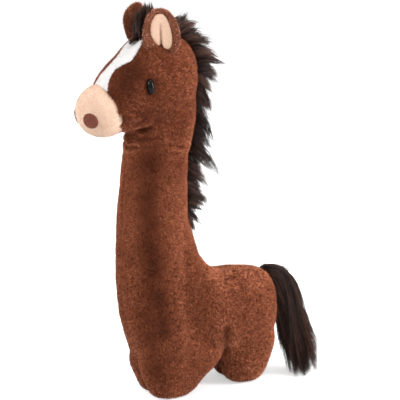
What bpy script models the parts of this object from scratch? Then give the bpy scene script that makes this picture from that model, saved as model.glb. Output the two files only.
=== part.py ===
"""A stuffed toy horse with a tall upright neck, four stub legs, and a mane and tail of long hair.

X is across the toy and +X is its left side. It faces -Y and stands on Z = 0. Lengths are in metres.
Each stuffed form has an open skin of plush and the fibre stuffing inside it. Forms are first
laid out about the middle of the front and hind legs, and the whole toy is then centred on its box.
"""

import math

import bmesh
import bpy
from mathutils import Matrix, Vector
from mathutils.bvhtree import BVHTree

# Cloth, stuffing and the gaps between pieces
skin_thickness = 0.003
seam_gap = 0.0003
flat_depth = 0.0005
cutter_overrun = 0.02

# Neck and chest, one upright column
neck_bottom = 0.055
neck_top = 0.452
neck_radius = 0.0565
neck_setback = -0.084
neck_drift = 0.018
neck_radius_shares = (0.94, 1.0, 0.975, 0.9, 0.84)
neck_drift_shares = (0.95, 0.15, 0.0, 0.2, 0.6)
neck_end_power = 7.0

# Trunk, from inside the chest to the rump
trunk_front = -0.095
trunk_back = 0.128
trunk_half_width = 0.062
trunk_half_height = 0.07
trunk_middle = 0.126
trunk_drop = 0.034
trunk_width_shares = (0.8, 0.88, 0.98, 1.0, 0.94)
trunk_height_shares = (1.8, 1.47, 0.99, 0.94, 0.97)
trunk_drop_shares = (1.4, 0.97, 0.02, -0.12, -0.34)
trunk_end_power = 3.6
trunk_side_power = 2.4

# Legs, whose rounded ends the toy's weight presses flat
leg_top = 0.1
sole_press = 0.003
cleft = 0.0016
leg_end_power = 3.5
front_leg_middle = -0.052
front_leg_half_depth = 0.066
front_leg_outer_width = 0.043
front_leg_inner_width = 0.012
front_leg_width_shares = (0.9, 0.88, 0.95, 1.0, 1.0)
front_leg_depth_shares = (0.66, 0.78, 1.08, 1.08, 1.05)
front_leg_drift_shares = (-0.16, -0.05, 0.1, 0.1, 0.06)
hind_leg_middle = 0.073
hind_leg_half_depth = 0.053
hind_leg_outer_width = 0.045
hind_leg_inner_width = 0.012
hind_leg_width_shares = (0.76, 0.78, 0.89, 0.98, 1.0)
hind_leg_depth_shares = (0.7, 0.8, 0.87, 0.9, 0.9)
hind_leg_drift_shares = (-0.04, -0.02, 0.06, 0.12, 0.12)

# Head, from the back of the skull to inside the muzzle
head_back = -0.012
head_front = -0.180
head_half_width = 0.056
head_half_height = 0.074
head_middle = 0.500
head_rise = 0.025
head_width_shares = (0.95, 1.0, 1.0, 0.95, 0.85)
head_height_shares = (0.97, 1.0, 0.98, 0.8, 0.77)
head_rise_shares = (0.2, 0.1, -0.02, -0.7, -1.3)

# Muzzle, which points forward and a little down
muzzle_root = Vector((0.0, -0.117, 0.474))
muzzle_length = 0.089
muzzle_pitch = math.radians(14)
muzzle_half_width = 0.040
muzzle_half_height = 0.0415
muzzle_width_shares = (0.9, 0.97, 1.0, 1.0, 0.96)
muzzle_height_shares = (0.9, 0.98, 1.0, 0.98, 0.94)
muzzle_end_power = 2.2
muzzle_side_power = 2.0

# White gusset down the face
blaze_top = Vector((0.0, -0.098, 0.566))
blaze_length = 0.088
blaze_pitch = math.radians(42)
blaze_half_width = 0.026
blaze_width_shares = (0.25, 0.7, 0.86, 0.98, 0.98, 0.74, 0.58, 0.64, 0.78)
blaze_reach = 0.03

# Eyes: a domed oval with a barbed stem, held inside by a washer
eye_aim_y = -0.110
eye_aim_z = 0.501
eye_half_width = 0.0062
eye_half_height = 0.012
eye_dome = 0.0065
eye_sink = 0.001
eye_stem_radius = 0.0026
eye_stem_length = 0.013
washer_radius = 0.0085
washer_thickness = 0.0018
washer_set_in = 0.0024

# Nostrils, stitched on the muzzle
nostril_turn = math.radians(56)
nostril_pitch = math.radians(-14)
nostril_radius = 0.0125
nostril_thickness = 0.0014

# Ears: a stuffed leaf with a lining set into its hollow face
ear_height = 0.055
ear_half_width = 0.0295
ear_thickness = 0.0095
ear_cup = 0.008
ear_aim_x = 0.035
ear_aim_y = -0.084
ear_turn = math.radians(24)
ear_slope = math.radians(18)
ear_splay = math.radians(4)
ear_range_in = math.radians(12)
ear_range_out = math.radians(25)
ear_root_share = 0.4
ear_end_power = 2.6
ear_width_shares = (1.0, 1.02, 1.0, 1.0, 1.0)
lining_margin = 0.0085
lining_thickness = 0.0035
lining_proud = 0.0012

# Mane: a woven strip sewn over the poll and down the neck, and the hair that stands on it
strip_half_width = 0.010
strip_thickness = 0.0024
strip_sink = 0.002
hair_root_half_width = 0.008
hair_tip_half_width = 0.0025
hair_length = 0.05
mane_end_height = 0.268
poll_centre = Vector((0.0, -0.075, 0.500))
poll_first_angle = math.radians(112)
poll_last_angle = math.radians(-12)
poll_steps = 10
neck_steps = 14
forelock_steps = 3
mane_length_shares = (0.55, 0.72, 0.6, 0.62, 0.72, 0.9, 1.1, 0.96, 0.9, 0.96, 0.9, 0.94, 0.8, 0.5)
lock_notch_share = 0.8

# Tail: a stuffed root, and a woven strip that carries the hair
tail_height = 0.170
dock_radius = 0.008
tail_bow_back = 0.054
tail_reach_back = 0.049
tail_reach_side = 0.042
tail_floor_gap = 0.008
tail_half_width = 0.026
tail_half_depth = 0.026
tail_width_shares = (0.42, 0.8, 1.0, 1.0, 0.9, 0.5)
tail_side_share = 0.3
tail_drop_share = 0.35
tail_hair_start_share = 0.07
tail_strip_end_share = 0.5
tail_steps = 10
tail_around = 14
strip_steps = 8
tail_strip_half_width = 0.006
tail_strip_thickness = 0.0024
line_steps = 100
line_samples = 2000

# Ring counts of the stuffed forms
large_around, fill_around = 18, 12
large_along = 11
leg_around, leg_fill_around = 14, 10
leg_along = 8
sharp_angle = math.radians(40)

across = Vector((1.0, 0.0, 0.0))
backward = Vector((0.0, 1.0, 0.0))
upward = Vector((0.0, 0.0, 1.0))


def clear_scene():
    for obj in list(bpy.data.objects):
        bpy.data.objects.remove(obj, do_unlink=True)


def make_material(name, colour, roughness, metallic=0.0):
    material = bpy.data.materials.new(name)
    material.use_nodes = True
    shader = material.node_tree.nodes["Principled BSDF"]
    shader.inputs["Base Color"].default_value = (*colour, 1.0)
    shader.inputs["Roughness"].default_value = roughness
    shader.inputs["Metallic"].default_value = metallic
    return material


def face_outward(bm):
    bm.normal_update()
    bmesh.ops.recalc_face_normals(bm, faces=bm.faces)
    bm.normal_update()


def place_object(name, bm, material, is_cutter=False):
    """One object from a bmesh, which is used up."""
    mesh = bpy.data.meshes.new(name)
    face_outward(bm)
    bm.to_mesh(mesh)
    bm.free()
    mesh.shade_smooth()
    mesh.set_sharp_from_angle(angle=sharp_angle)
    if material:
        mesh.materials.append(material)
    obj = bpy.data.objects.new(name, mesh)
    bpy.context.scene.collection.objects.link(obj)
    obj.parent = toy
    if is_cutter:
        obj.hide_render = True
        obj.display_type = "WIRE"
    return obj


def cutter(name, bm):
    return place_object("cut_" + name, bm, None, is_cutter=True)


def combine(obj, other, operation="DIFFERENCE"):
    boolean = obj.modifiers.new(other.name, "BOOLEAN")
    boolean.operation = operation
    boolean.object = other


def share_at(shares, place):
    """Value at place, from 0 to 1, of a smooth curve through evenly spaced shares."""
    last = len(shares) - 1
    spot = min(max(place, 0.0), 1.0) * last
    step = min(int(spot), last - 1)
    part = spot - step
    here, there = shares[step], shares[step + 1]
    rise_here = (there - shares[step - 1]) / 2 if step > 0 else there - here
    rise_there = (shares[step + 2] - here) / 2 if step + 2 <= last else there - here
    blend = part * part * (3 - 2 * part)
    lift = part * (1 - part) * (rise_here * (1 - part) - rise_there * part)
    return here + (there - here) * blend + lift


def rounded(value, power):
    """A circle's sine or cosine turned into that of a rounder or boxier oval."""
    return math.copysign(abs(value) ** (2 / power), value)


def make_form(start, end, depth, half_width, half_depth, width_shares, depth_shares,
              drift=0.0, drift_shares=(0.0, 0.0), end_power=2.6, side_power=2.2):
    """A stuffed form: an oval that swells and tapers along its line from start to end."""
    return dict(
        start=start, end=end, depth=depth, half_width=half_width, half_depth=half_depth,
        width_shares=width_shares, depth_shares=depth_shares, drift=drift,
        drift_shares=drift_shares, end_power=end_power, side_power=side_power,
    )


def point_on_form(form, unit):
    """Where a point of the unit sphere goes on the form."""
    place = (1 + unit.z) / 2
    reach = max(1 - abs(unit.z) ** form["end_power"], 0.0) ** (1 / form["end_power"])
    turn = math.atan2(unit.y, unit.x)
    inward = math.cos(turn) * form.get("outer_side", 1) < 0
    width = form["inner_width"] if inward and "inner_width" in form else form["half_width"]
    wide = width * share_at(form["width_shares"], place)
    deep = form["half_depth"] * share_at(form["depth_shares"], place)
    middle = form["start"].lerp(form["end"], place)
    middle.z = max(middle.z, form.get("lowest", middle.z))
    shift = form["drift"] * share_at(form["drift_shares"], place)
    side_part = wide * reach * rounded(math.cos(turn), form["side_power"])
    depth_part = deep * reach * rounded(math.sin(turn), form["side_power"])
    return middle + across * side_part + form["depth"] * (depth_part + shift)


def form_bmesh(form, growth, around, along):
    """The form's closed surface, moved out by growth along its normals.

    Its faces are split before they are bent, so that copies of unlike growth stay parallel.
    """
    bm = bmesh.new()
    bmesh.ops.create_uvsphere(bm, u_segments=around, v_segments=along, radius=1.0)
    bmesh.ops.triangulate(bm, faces=bm.faces, quad_method="FIXED")
    for vert in bm.verts:
        vert.co = point_on_form(form, vert.co)
    face_outward(bm)
    if growth:
        moves = [(vert, vert.normal * growth) for vert in bm.verts]
        for vert, move in moves:
            vert.co += move
    return bm


def cut_flat(bm, height):
    """Cuts away what is below height and closes the body with a flat face."""
    geometry = bm.verts[:] + bm.edges[:] + bm.faces[:]
    bmesh.ops.bisect_plane(
        bm, geom=geometry, plane_co=upward * height, plane_no=upward, clear_inner=True
    )
    rim = [edge for edge in bm.edges if edge.is_boundary]
    bmesh.ops.holes_fill(bm, edges=rim, sides=0)


def surface_of(form, around, along):
    bm = form_bmesh(form, 0.0, around, along)
    tree = BVHTree.FromBMesh(bm)
    bm.free()
    return tree


def turned_axes(forward, up_hint):
    """A rotation whose Z is forward and whose Y is as near up_hint as it can be."""
    z_axis = forward.normalized()
    x_axis = up_hint.cross(z_axis).normalized()
    y_axis = z_axis.cross(x_axis)
    return Matrix((x_axis, y_axis, z_axis)).transposed()


def cylinder_bmesh(radius, depth, segments):
    bm = bmesh.new()
    bmesh.ops.create_cone(
        bm, cap_ends=True, segments=segments, radius1=radius, radius2=radius, depth=depth
    )
    return bm


def put(bm, rotation, position):
    bmesh.ops.transform(bm, matrix=Matrix.Translation(position) @ rotation.to_4x4(), verts=bm.verts)
    return bm


def add_hinge(name, parent, location, axes=None):
    """An empty on a joint's axis, which carries the pieces that turn with it."""
    hinge = bpy.data.objects.new(name, None)
    bpy.context.scene.collection.objects.link(hinge)
    hinge.parent = parent
    hinge.location = location
    if axes:
        hinge.rotation_euler = axes.to_euler()
    return hinge


def stuffed_piece(name, form, material, larger=(), rings="large", stands=False):
    """The skin and stuffing of one form, cut by the larger forms and open to their stuffing."""
    if rings == "large":
        around, fewer, along = large_around, fill_around, large_along
    else:
        around, fewer, along = leg_around, leg_fill_around, leg_along
    outer = form_bmesh(form, 0.0, around, along)
    if stands:
        cut_flat(outer, 0.0)
    skin = place_object(name + "_skin", outer, material)
    inner = form_bmesh(form, -skin_thickness, fewer, along)
    form["inner_cut"] = cutter(name + "_inner", inner)
    form["outer_cut"] = cutter(name + "_outer", form_bmesh(form, seam_gap, around, along))
    combine(skin, form["inner_cut"])
    fill = form_bmesh(form, -skin_thickness - seam_gap, fewer, along)
    stuffing = place_object(name + "_stuffing", fill, fibre_white)
    for other in larger:
        combine(skin, other["outer_cut"])
        combine(stuffing, other["inner_cut"])
        combine(other["skin"], form["inner_cut"])
    form["skin"], form["stuffing"] = skin, stuffing


def make_blaze(head):
    """The gusset is the part of the head's skin inside its outline, and the skin is cut to match."""
    down_face = Vector((0.0, -math.cos(blaze_pitch), -math.sin(blaze_pitch)))
    out_of_face = Vector((0.0, -math.sin(blaze_pitch), math.cos(blaze_pitch)))

    def prism(growth):
        steps = 2 * (len(blaze_width_shares) - 1)
        left, right = [], []
        bm = bmesh.new()
        for step in range(steps + 1):
            place = step / steps
            half = blaze_half_width * share_at(blaze_width_shares, place) + growth
            along = blaze_length * place + growth * (2 * place - 1)
            spot = blaze_top + down_face * along - out_of_face * blaze_reach
            right.append(bm.verts.new(spot - across * half))
            left.append(bm.verts.new(spot + across * half))
        bm.faces.new(right + left[::-1])
        side = bmesh.ops.extrude_face_region(bm, geom=bm.faces[:])
        moved = [item for item in side["geom"] if isinstance(item, bmesh.types.BMVert)]
        bmesh.ops.translate(bm, verts=moved, vec=out_of_face * (2 * blaze_reach))
        return bm

    panel = place_object(
        "blaze_panel", form_bmesh(head, 0.0, large_around, large_along), plush_white
    )
    combine(panel, head["inner_cut"])
    combine(panel, cutter("blaze_outline", prism(0.0)), "INTERSECT")
    combine(head["skin"], cutter("blaze_seam", prism(seam_gap)))
    return panel


def make_eye(side, tree, head):
    """A domed eye with its stem, the washer on it, and room for both in the skin and stuffing."""
    name = "left" if side > 0 else "right"
    spot, normal, _, _ = tree.ray_cast(Vector((0.0, eye_aim_y, eye_aim_z)), across * side)
    rotation = turned_axes(normal, upward)
    seat = spot - normal * eye_sink

    def eye_bmesh(growth):
        bm = bmesh.new()
        bmesh.ops.create_uvsphere(bm, u_segments=20, v_segments=12, radius=1.0)
        for vert in bm.verts:
            vert.co.x *= eye_half_width + growth
            vert.co.y *= eye_half_height + growth
            vert.co.z *= eye_dome + growth
        cut_flat(bm, -growth)
        back = min(bm.faces, key=lambda face: face.calc_center_median().z)
        rim_inset = eye_half_width - eye_stem_radius
        bmesh.ops.inset_region(bm, faces=[back], thickness=rim_inset, use_even_offset=True)
        for vert in back.verts:
            flat = Vector((vert.co.x, vert.co.y)).normalized() * (eye_stem_radius + growth)
            vert.co.x, vert.co.y = flat.x, flat.y
        stem = bmesh.ops.extrude_discrete_faces(bm, faces=[back])["faces"][0]
        bmesh.ops.translate(bm, verts=stem.verts, vec=-upward * (eye_stem_length + growth))
        return put(bm, rotation, seat)

    eye = place_object(name + "_eye", eye_bmesh(0.0), eye_black)
    eye_cut = cutter(name + "_eye_seat", eye_bmesh(seam_gap))
    combine(head["skin"], eye_cut)
    washer_depth = skin_thickness + washer_set_in + washer_thickness / 2
    washer_spot = spot - normal * washer_depth
    disc = put(cylinder_bmesh(washer_radius, washer_thickness, 24), rotation, washer_spot)
    washer = place_object(name + "_eye_washer", disc, washer_white)
    combine(washer, eye_cut)
    room = cylinder_bmesh(washer_radius + seam_gap, washer_thickness + 2 * seam_gap, 24)
    room_cut = cutter(name + "_washer_room", put(room, rotation, washer_spot))
    combine(head["stuffing"], room_cut)
    combine(head["stuffing"], eye_cut)
    return eye


def make_nostril(side, tree, muzzle):
    """A round stitched patch that lies on the muzzle's surface."""
    name = "left" if side > 0 else "right"
    level = math.cos(nostril_pitch)
    aim = Vector((
        side * math.cos(nostril_turn) * level,
        -math.sin(nostril_turn) * level,
        math.sin(nostril_pitch),
    ))
    centre = muzzle["start"].lerp(muzzle["end"], 0.5)
    spot, normal, _, _ = tree.ray_cast(centre, aim)
    top = form_bmesh(muzzle, seam_gap + nostril_thickness, large_around, large_along)
    patch = place_object(name + "_nostril", top, thread_brown)
    disc = cylinder_bmesh(nostril_radius, 2 * cutter_overrun, 24)
    disc_cut = cutter(name + "_nostril_outline", put(disc, turned_axes(normal, upward), spot))
    combine(patch, muzzle["outer_cut"])
    combine(patch, disc_cut, "INTERSECT")
    return patch


def leaf_bmesh(half_width, height, thickness, cup, foot):
    """A cupped leaf in its own frame: X across, Y out of its hollow face, Z up from its foot."""
    bm = bmesh.new()
    bmesh.ops.create_uvsphere(bm, u_segments=20, v_segments=12, radius=1.0)
    for vert in bm.verts:
        place = (1 + rounded(vert.co.z, ear_end_power)) / 2
        reach = math.hypot(vert.co.x, vert.co.y) ** (2 / ear_end_power)
        turn = math.atan2(vert.co.y, vert.co.x)
        wide = math.cos(turn) * reach
        x = half_width * wide * share_at(ear_width_shares, place)
        bend = cup * wide * wide
        y = thickness / 2 * math.sin(turn) * reach + bend
        vert.co = Vector((x, y, foot + (height - foot) * place))
    return bm


def make_ear(side, head, head_tree):
    """A stuffed leaf and its lining, hung on one hinge line along the ear's root."""
    name = "left" if side > 0 else "right"
    aim = Vector((side * ear_aim_x, ear_aim_y, head_middle))
    spot, normal, _, _ = head_tree.ray_cast(aim, upward)
    level = math.cos(ear_slope)
    hinge_x = Vector((
        -math.sin(ear_turn) * level, -side * math.cos(ear_turn) * level, side * math.sin(ear_slope)
    ))
    hinge_y = Vector((side * math.cos(ear_turn), -math.sin(ear_turn), 0.0))
    axes = Matrix((hinge_x, hinge_y, hinge_x.cross(hinge_y))).transposed()
    hinge = add_hinge(name + "_ear_hinge", toy, spot + normal * 2 * seam_gap, axes)
    stand = Matrix.Rotation(side * ear_slope, 4, "Y") @ Matrix.Rotation(-ear_splay, 4, "X")
    foot = -ear_height * ear_root_share

    def hang(label, bm, material):
        bmesh.ops.transform(bm, matrix=stand, verts=bm.verts)
        piece = place_object(label, bm, material, is_cutter=material is None)
        piece.parent = hinge
        return piece

    rooms = []
    for label, angle in (("rest", 0.0), ("in", ear_range_in), ("out", -ear_range_out)):
        room = form_bmesh(head, 2 * seam_gap, large_around, large_along)
        about = Matrix.Translation(hinge.location) @ Matrix.Rotation(-angle, 4, hinge_x)
        bmesh.ops.transform(
            room, matrix=about @ Matrix.Translation(-hinge.location), verts=room.verts
        )
        rooms.append(cutter(name + "_ear_room_" + label, room))
    back = hang(
        name + "_ear_back",
        leaf_bmesh(ear_half_width, ear_height, ear_thickness, ear_cup, foot),
        plush_brown,
    )
    grown = leaf_bmesh(
        ear_half_width + seam_gap,
        ear_height + seam_gap,
        ear_thickness + 2 * seam_gap,
        ear_cup,
        foot - seam_gap,
    )
    back_cut = hang("cut_" + name + "_ear_back", grown, None)
    lining_half = ear_half_width - lining_margin
    lining_cup = ear_cup * (lining_half / ear_half_width) ** 2
    front = leaf_bmesh(
        lining_half, ear_height - lining_margin, lining_thickness, lining_cup, foot
    )
    shift = ear_thickness / 2 + lining_proud - lining_thickness / 2
    bmesh.ops.translate(front, verts=front.verts, vec=backward * shift)
    lining = hang(name + "_ear_lining", front, plush_peach)
    combine(lining, back_cut)
    for room in rooms:
        combine(back, room)
        combine(lining, room)
    return hinge, hinge_x


def ring_loft(rings):
    """A closed body through rings of points, one after another."""
    bm = bmesh.new()
    rows = [[bm.verts.new(point) for point in ring] for ring in rings]
    loops = [[bm.edges.new((row[i - 1], row[i])) for i in range(len(row))] for row in rows]
    for one, two in zip(loops, loops[1:]):
        bmesh.ops.bridge_loops(bm, edges=one + two)
    bm.faces.new(rows[0])
    bm.faces.new(rows[-1])
    return bm


def hair_line(head_tree, neck_tree):
    """Places on the top line from the forehead over the poll and down the back of the neck."""
    places = []
    for step in range(poll_steps + 1):
        angle = poll_first_angle + (poll_last_angle - poll_first_angle) * step / poll_steps
        out = backward * math.cos(angle) + upward * math.sin(angle)
        places.append((head_tree.ray_cast(poll_centre, out)[0], out))
    first_height = places[-1][0].z
    for step in range(1, neck_steps + 1):
        height = first_height + (mane_end_height - first_height) * step / neck_steps
        start = Vector((0.0, neck_setback, height))
        hits = [tree.ray_cast(start, backward)[0] for tree in (head_tree, neck_tree)]
        places.append((max((hit for hit in hits if hit), key=lambda hit: hit.y), backward))
    return places


def band_ring(spot, out, half_low, half_high, low, high):
    """Four corners across the toy, between two heights above a place on the surface."""
    foot, head = spot + out * low, spot + out * high
    return (
        foot - across * half_low,
        foot + across * half_low,
        head + across * half_high,
        head - across * half_high,
    )


def make_mane(head, neck, head_tree, neck_tree):
    places = hair_line(head_tree, neck_tree)
    rings = [
        band_ring(spot, out, strip_half_width, strip_half_width, -strip_sink, strip_thickness)
        for spot, out in places
    ]
    strip = place_object("mane_strip", ring_loft(rings), weave_dark)
    combine(strip, head["outer_cut"])
    combine(strip, neck["outer_cut"])
    rise = strip_thickness + seam_gap
    last = len(places) - 1
    for name, first, end in (("forelock_hair", 0, forelock_steps), ("mane_hair", forelock_steps, last)):
        rings = []
        for step in range(first, end + 1):
            spot, out = places[step]
            if name == "mane_hair" and step == first:
                spot = spot + (places[step + 1][0] - spot).normalized() * 2 * seam_gap
            length = hair_length * share_at(mane_length_shares, step / last)
            if step % 2:
                length *= lock_notch_share
            ring = band_ring(
                spot, out, hair_root_half_width, hair_tip_half_width, rise, rise + length
            )
            rings.append(ring)
        place_object(name, ring_loft(rings), hair_dark)


def bezier(points, place):
    """A point on the smooth curve that the control points draw."""
    while len(points) > 1:
        points = [one.lerp(two, place) for one, two in zip(points, points[1:])]
    return points[0]


def tail_ring(line, place, half_width, half_depth, count):
    """A ring of points square to the tail's line."""
    step = 1 / line_steps
    ahead = bezier(line, min(place + step, 1.0)) - bezier(line, max(place - step, 0.0))
    deep = ahead.cross(across).normalized()
    wide = deep.cross(ahead).normalized()
    middle = bezier(line, place)
    turns = [2 * math.pi * i / count for i in range(count)]
    return [
        middle + wide * half_width * math.cos(turn) + deep * half_depth * math.sin(turn)
        for turn in turns
    ]


def strip_ring(line, place, half_width, half_depth):
    """A rectangle square to the tail's line."""
    scale = math.sqrt(2)
    return [
        point for point in tail_ring(line, place, half_width * scale, half_depth * scale, 8)[1::2]
    ]


def make_tail(trunk_tree):
    """A small stuffed root on the rump, and the haired strip that swings below it."""
    start = Vector((0.0, 0.0, tail_height))
    root, normal, _, _ = trunk_tree.ray_cast(start, backward)
    root.x = normal.x = 0.0
    normal.normalize()
    lift = add_hinge("tail_lift_hinge", toy, root + normal * (dock_radius + seam_gap))
    sway = add_hinge("tail_sway_hinge", lift, Vector((0.0, 0.0, 0.0)))
    ball = bmesh.new()
    bmesh.ops.create_uvsphere(ball, u_segments=16, v_segments=10, radius=dock_radius)
    place_object("tail_root", ball, plush_brown).parent = lift
    drop = lift.location.z - tail_floor_gap
    line = [
        Vector((0.0, 0.0, 0.0)),
        Vector((0.0, tail_bow_back, 0.0)),
        Vector((tail_reach_side * tail_side_share, tail_bow_back, -drop * tail_drop_share)),
        Vector((tail_reach_side, tail_reach_back, -drop)),
    ]
    spots = [i / line_samples for i in range(line_samples)]
    clear = dock_radius + seam_gap
    first = next(spot for spot in spots if bezier(line, spot).length > clear)
    run = tail_strip_end_share - first
    places = [first + run * i / strip_steps for i in range(strip_steps + 1)]

    def strip_bmesh(growth):
        half_width, half_depth = tail_strip_half_width + growth, tail_strip_thickness / 2 + growth
        return ring_loft([strip_ring(line, place, half_width, half_depth) for place in places])

    strip = place_object("tail_strip", strip_bmesh(0.0), weave_dark)
    strip.parent = sway
    slot = cutter("tail_strip_slot", strip_bmesh(seam_gap))
    slot.parent = sway
    rings = []
    count = len(tail_width_shares)
    for i in range(tail_steps + 1):
        part = i / tail_steps
        share = share_at(tail_width_shares, part)
        place = tail_hair_start_share + (1 - tail_hair_start_share) * part
        half_width, half_depth = tail_half_width * share, tail_half_depth * share
        rings.append(tail_ring(line, place, half_width, half_depth, tail_around))
    hair = place_object("tail_hair", ring_loft(rings), hair_dark)
    hair.parent = sway
    combine(hair, slot)
    return lift


clear_scene()
toy = bpy.data.objects.new("toy_horse", None)
bpy.context.scene.collection.objects.link(toy)

plush_brown = make_material("plush_brown", (0.19, 0.065, 0.03), 0.9)
plush_peach = make_material("plush_peach", (0.89, 0.57, 0.38), 0.9)
plush_white = make_material("plush_white", (0.88, 0.87, 0.86), 0.9)
thread_brown = make_material("thread_brown", (0.16, 0.035, 0.025), 0.7)
fibre_white = make_material("fibre_white", (0.8, 0.8, 0.78), 1.0)
hair_dark = make_material("hair_dark", (0.02, 0.01, 0.008), 0.6)
weave_dark = make_material("weave_dark", (0.03, 0.018, 0.014), 0.9)
eye_black = make_material("eye_black", (0.004, 0.004, 0.004), 0.08)
washer_white = make_material("washer_white", (0.8, 0.8, 0.8), 0.4)

head = make_form(
    Vector((0.0, head_back, head_middle)),
    Vector((0.0, head_front, head_middle)),
    upward,
    head_half_width,
    head_half_height,
    head_width_shares,
    head_height_shares,
    head_rise,
    head_rise_shares,
)
muzzle_down = Vector((0.0, -math.cos(muzzle_pitch), -math.sin(muzzle_pitch)))
muzzle = make_form(
    muzzle_root,
    muzzle_root + muzzle_down * muzzle_length,
    muzzle_down.cross(across),
    muzzle_half_width,
    muzzle_half_height,
    muzzle_width_shares,
    muzzle_height_shares,
    end_power=muzzle_end_power,
    side_power=muzzle_side_power,
)
neck = make_form(
    Vector((0.0, neck_setback, neck_bottom)),
    Vector((0.0, neck_setback, neck_top)),
    backward,
    neck_radius,
    neck_radius,
    neck_radius_shares,
    neck_radius_shares,
    neck_drift,
    neck_drift_shares,
    end_power=neck_end_power,
)
trunk = make_form(
    Vector((0.0, trunk_front, trunk_middle)),
    Vector((0.0, trunk_back, trunk_middle)),
    upward,
    trunk_half_width,
    trunk_half_height,
    trunk_width_shares,
    trunk_height_shares,
    trunk_drop,
    trunk_drop_shares,
    end_power=trunk_end_power,
    side_power=trunk_side_power,
)


def leg_form(side, middle, outer_width, inner_width, half_depth, shares):
    """Half of an oval block of two legs, from its flat sole up into the body."""
    width_shares, depth_shares, drift_shares = shares
    line_x = side * (inner_width + cleft / 2)
    form = make_form(
        Vector((line_x, middle, -flat_depth - sole_press)), Vector((line_x, middle, leg_top)),
        backward, outer_width, half_depth, width_shares, depth_shares, half_depth, drift_shares,
        end_power=leg_end_power,
    )
    form["lowest"] = -flat_depth
    form["inner_width"] = inner_width
    form["outer_side"] = side
    return form


head_tree = surface_of(head, large_around, large_along)
neck_tree = surface_of(neck, large_around, large_along)
trunk_tree = surface_of(trunk, large_around, large_along)
muzzle_tree = surface_of(muzzle, large_around, large_along)

stuffed_piece("head", head, plush_brown)
stuffed_piece("neck", neck, plush_brown, larger=(head,))
stuffed_piece("muzzle", muzzle, plush_peach, larger=(head,))
stuffed_piece("trunk", trunk, plush_brown, larger=(neck,))
for side, side_name in ((1, "left"), (-1, "right")):
    front = leg_form(
        side, front_leg_middle, front_leg_outer_width, front_leg_inner_width, front_leg_half_depth,
        (front_leg_width_shares, front_leg_depth_shares, front_leg_drift_shares),
    )
    hind = leg_form(
        side, hind_leg_middle, hind_leg_outer_width, hind_leg_inner_width, hind_leg_half_depth,
        (hind_leg_width_shares, hind_leg_depth_shares, hind_leg_drift_shares),
    )
    stuffed_piece(
        "front_" + side_name + "_leg", front, plush_brown,
        larger=(neck, trunk), rings="leg", stands=True,
    )
    stuffed_piece(
        "hind_" + side_name + "_leg", hind, plush_brown,
        larger=(trunk,), rings="leg", stands=True,
    )
    make_eye(side, head_tree, head)
    make_nostril(side, muzzle_tree, muzzle)
    make_ear(side, head, head_tree)
make_blaze(head)
make_mane(head, neck, head_tree, neck_tree)
make_tail(trunk_tree)


def world_box():
    """The lowest and highest corners of all the pieces that show."""
    graph = bpy.context.evaluated_depsgraph_get()
    corners = []
    for obj in bpy.data.objects:
        if obj.type == "MESH" and not obj.hide_render:
            shown = obj.evaluated_get(graph)
            corners += [shown.matrix_world @ vert.co for vert in shown.data.vertices]
    low = Vector([min(corner[i] for corner in corners) for i in range(3)])
    high = Vector([max(corner[i] for corner in corners) for i in range(3)])
    return low, high


bpy.context.view_layer.update()
low, high = world_box()
toy.location.y = -(low.y + high.y) / 2
bpy.context.view_layer.update()
print("box", [round(value, 4) for value in high - low], "centre x", round((low.x + high.x) / 2, 5))
for empty in [obj for obj in bpy.data.objects if obj.type == "EMPTY"]:
    place = [round(value, 5) for value in empty.matrix_world.translation]
    x_axis = [round(value, 5) for value in empty.matrix_world.col[0][:3]]
    print(empty.name, place, "x axis", x_axis)
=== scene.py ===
"""Looks of a stuffed toy horse: plush with its pile, long hair, stitched nostrils and domed eyes.

X is across the toy and +X is its left side. It faces -Y and stands on Z = 0. Lengths are metres.
"""

import math
from functools import partial

import bmesh
import bpy
import numpy as np
from mathutils import Matrix, Vector, noise
from mathutils.bvhtree import BVHTree


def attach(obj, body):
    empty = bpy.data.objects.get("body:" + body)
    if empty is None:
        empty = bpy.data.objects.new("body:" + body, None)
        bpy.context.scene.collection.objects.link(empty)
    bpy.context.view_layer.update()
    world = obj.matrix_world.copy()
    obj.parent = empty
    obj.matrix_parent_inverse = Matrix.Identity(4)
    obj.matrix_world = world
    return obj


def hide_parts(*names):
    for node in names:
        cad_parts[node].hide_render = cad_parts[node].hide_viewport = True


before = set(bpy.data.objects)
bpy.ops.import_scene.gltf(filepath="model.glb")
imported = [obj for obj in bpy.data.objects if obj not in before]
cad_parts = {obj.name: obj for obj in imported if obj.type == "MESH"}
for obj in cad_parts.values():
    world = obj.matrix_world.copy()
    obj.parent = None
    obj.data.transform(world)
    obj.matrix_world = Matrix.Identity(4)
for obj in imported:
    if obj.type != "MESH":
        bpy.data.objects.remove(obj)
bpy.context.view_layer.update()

across = Vector((1.0, 0.0, 0.0))
backward = Vector((0.0, 1.0, 0.0))
upward = Vector((0.0, 0.0, 1.0))
toy_middle = Vector((0.0, 0.00569, 0.0))
side_names = {1: "left", -1: "right"}

# How far the cloth lies below the tips of its pile, and how fine its mesh is
pile_depth = 0.0024
cloth_grain = 0.0024


def mid(y, z):
    """A point or a direction in the toy's middle plane."""
    return Vector((0.0, y, z))


# Forms of the stuffed pieces


def share_at(shares, place):
    """Value at place, from 0 to 1, of a smooth curve through evenly spaced shares."""
    last = len(shares) - 1
    spot = min(max(place, 0.0), 1.0) * last
    step = min(int(spot), last - 1)
    part = spot - step
    here, there = shares[step], shares[step + 1]
    rise_here = (there - shares[step - 1]) / 2 if step > 0 else there - here
    rise_there = (shares[step + 2] - here) / 2 if step + 2 <= last else there - here
    blend = part * part * (3 - 2 * part)
    lift = part * (1 - part) * (rise_here * (1 - part) - rise_there * part)
    return here + (there - here) * blend + lift


def rounded(value, power):
    """A circle's sine or cosine turned into that of a rounder or boxier oval."""
    return math.copysign(abs(value) ** (2 / power), value)


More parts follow.
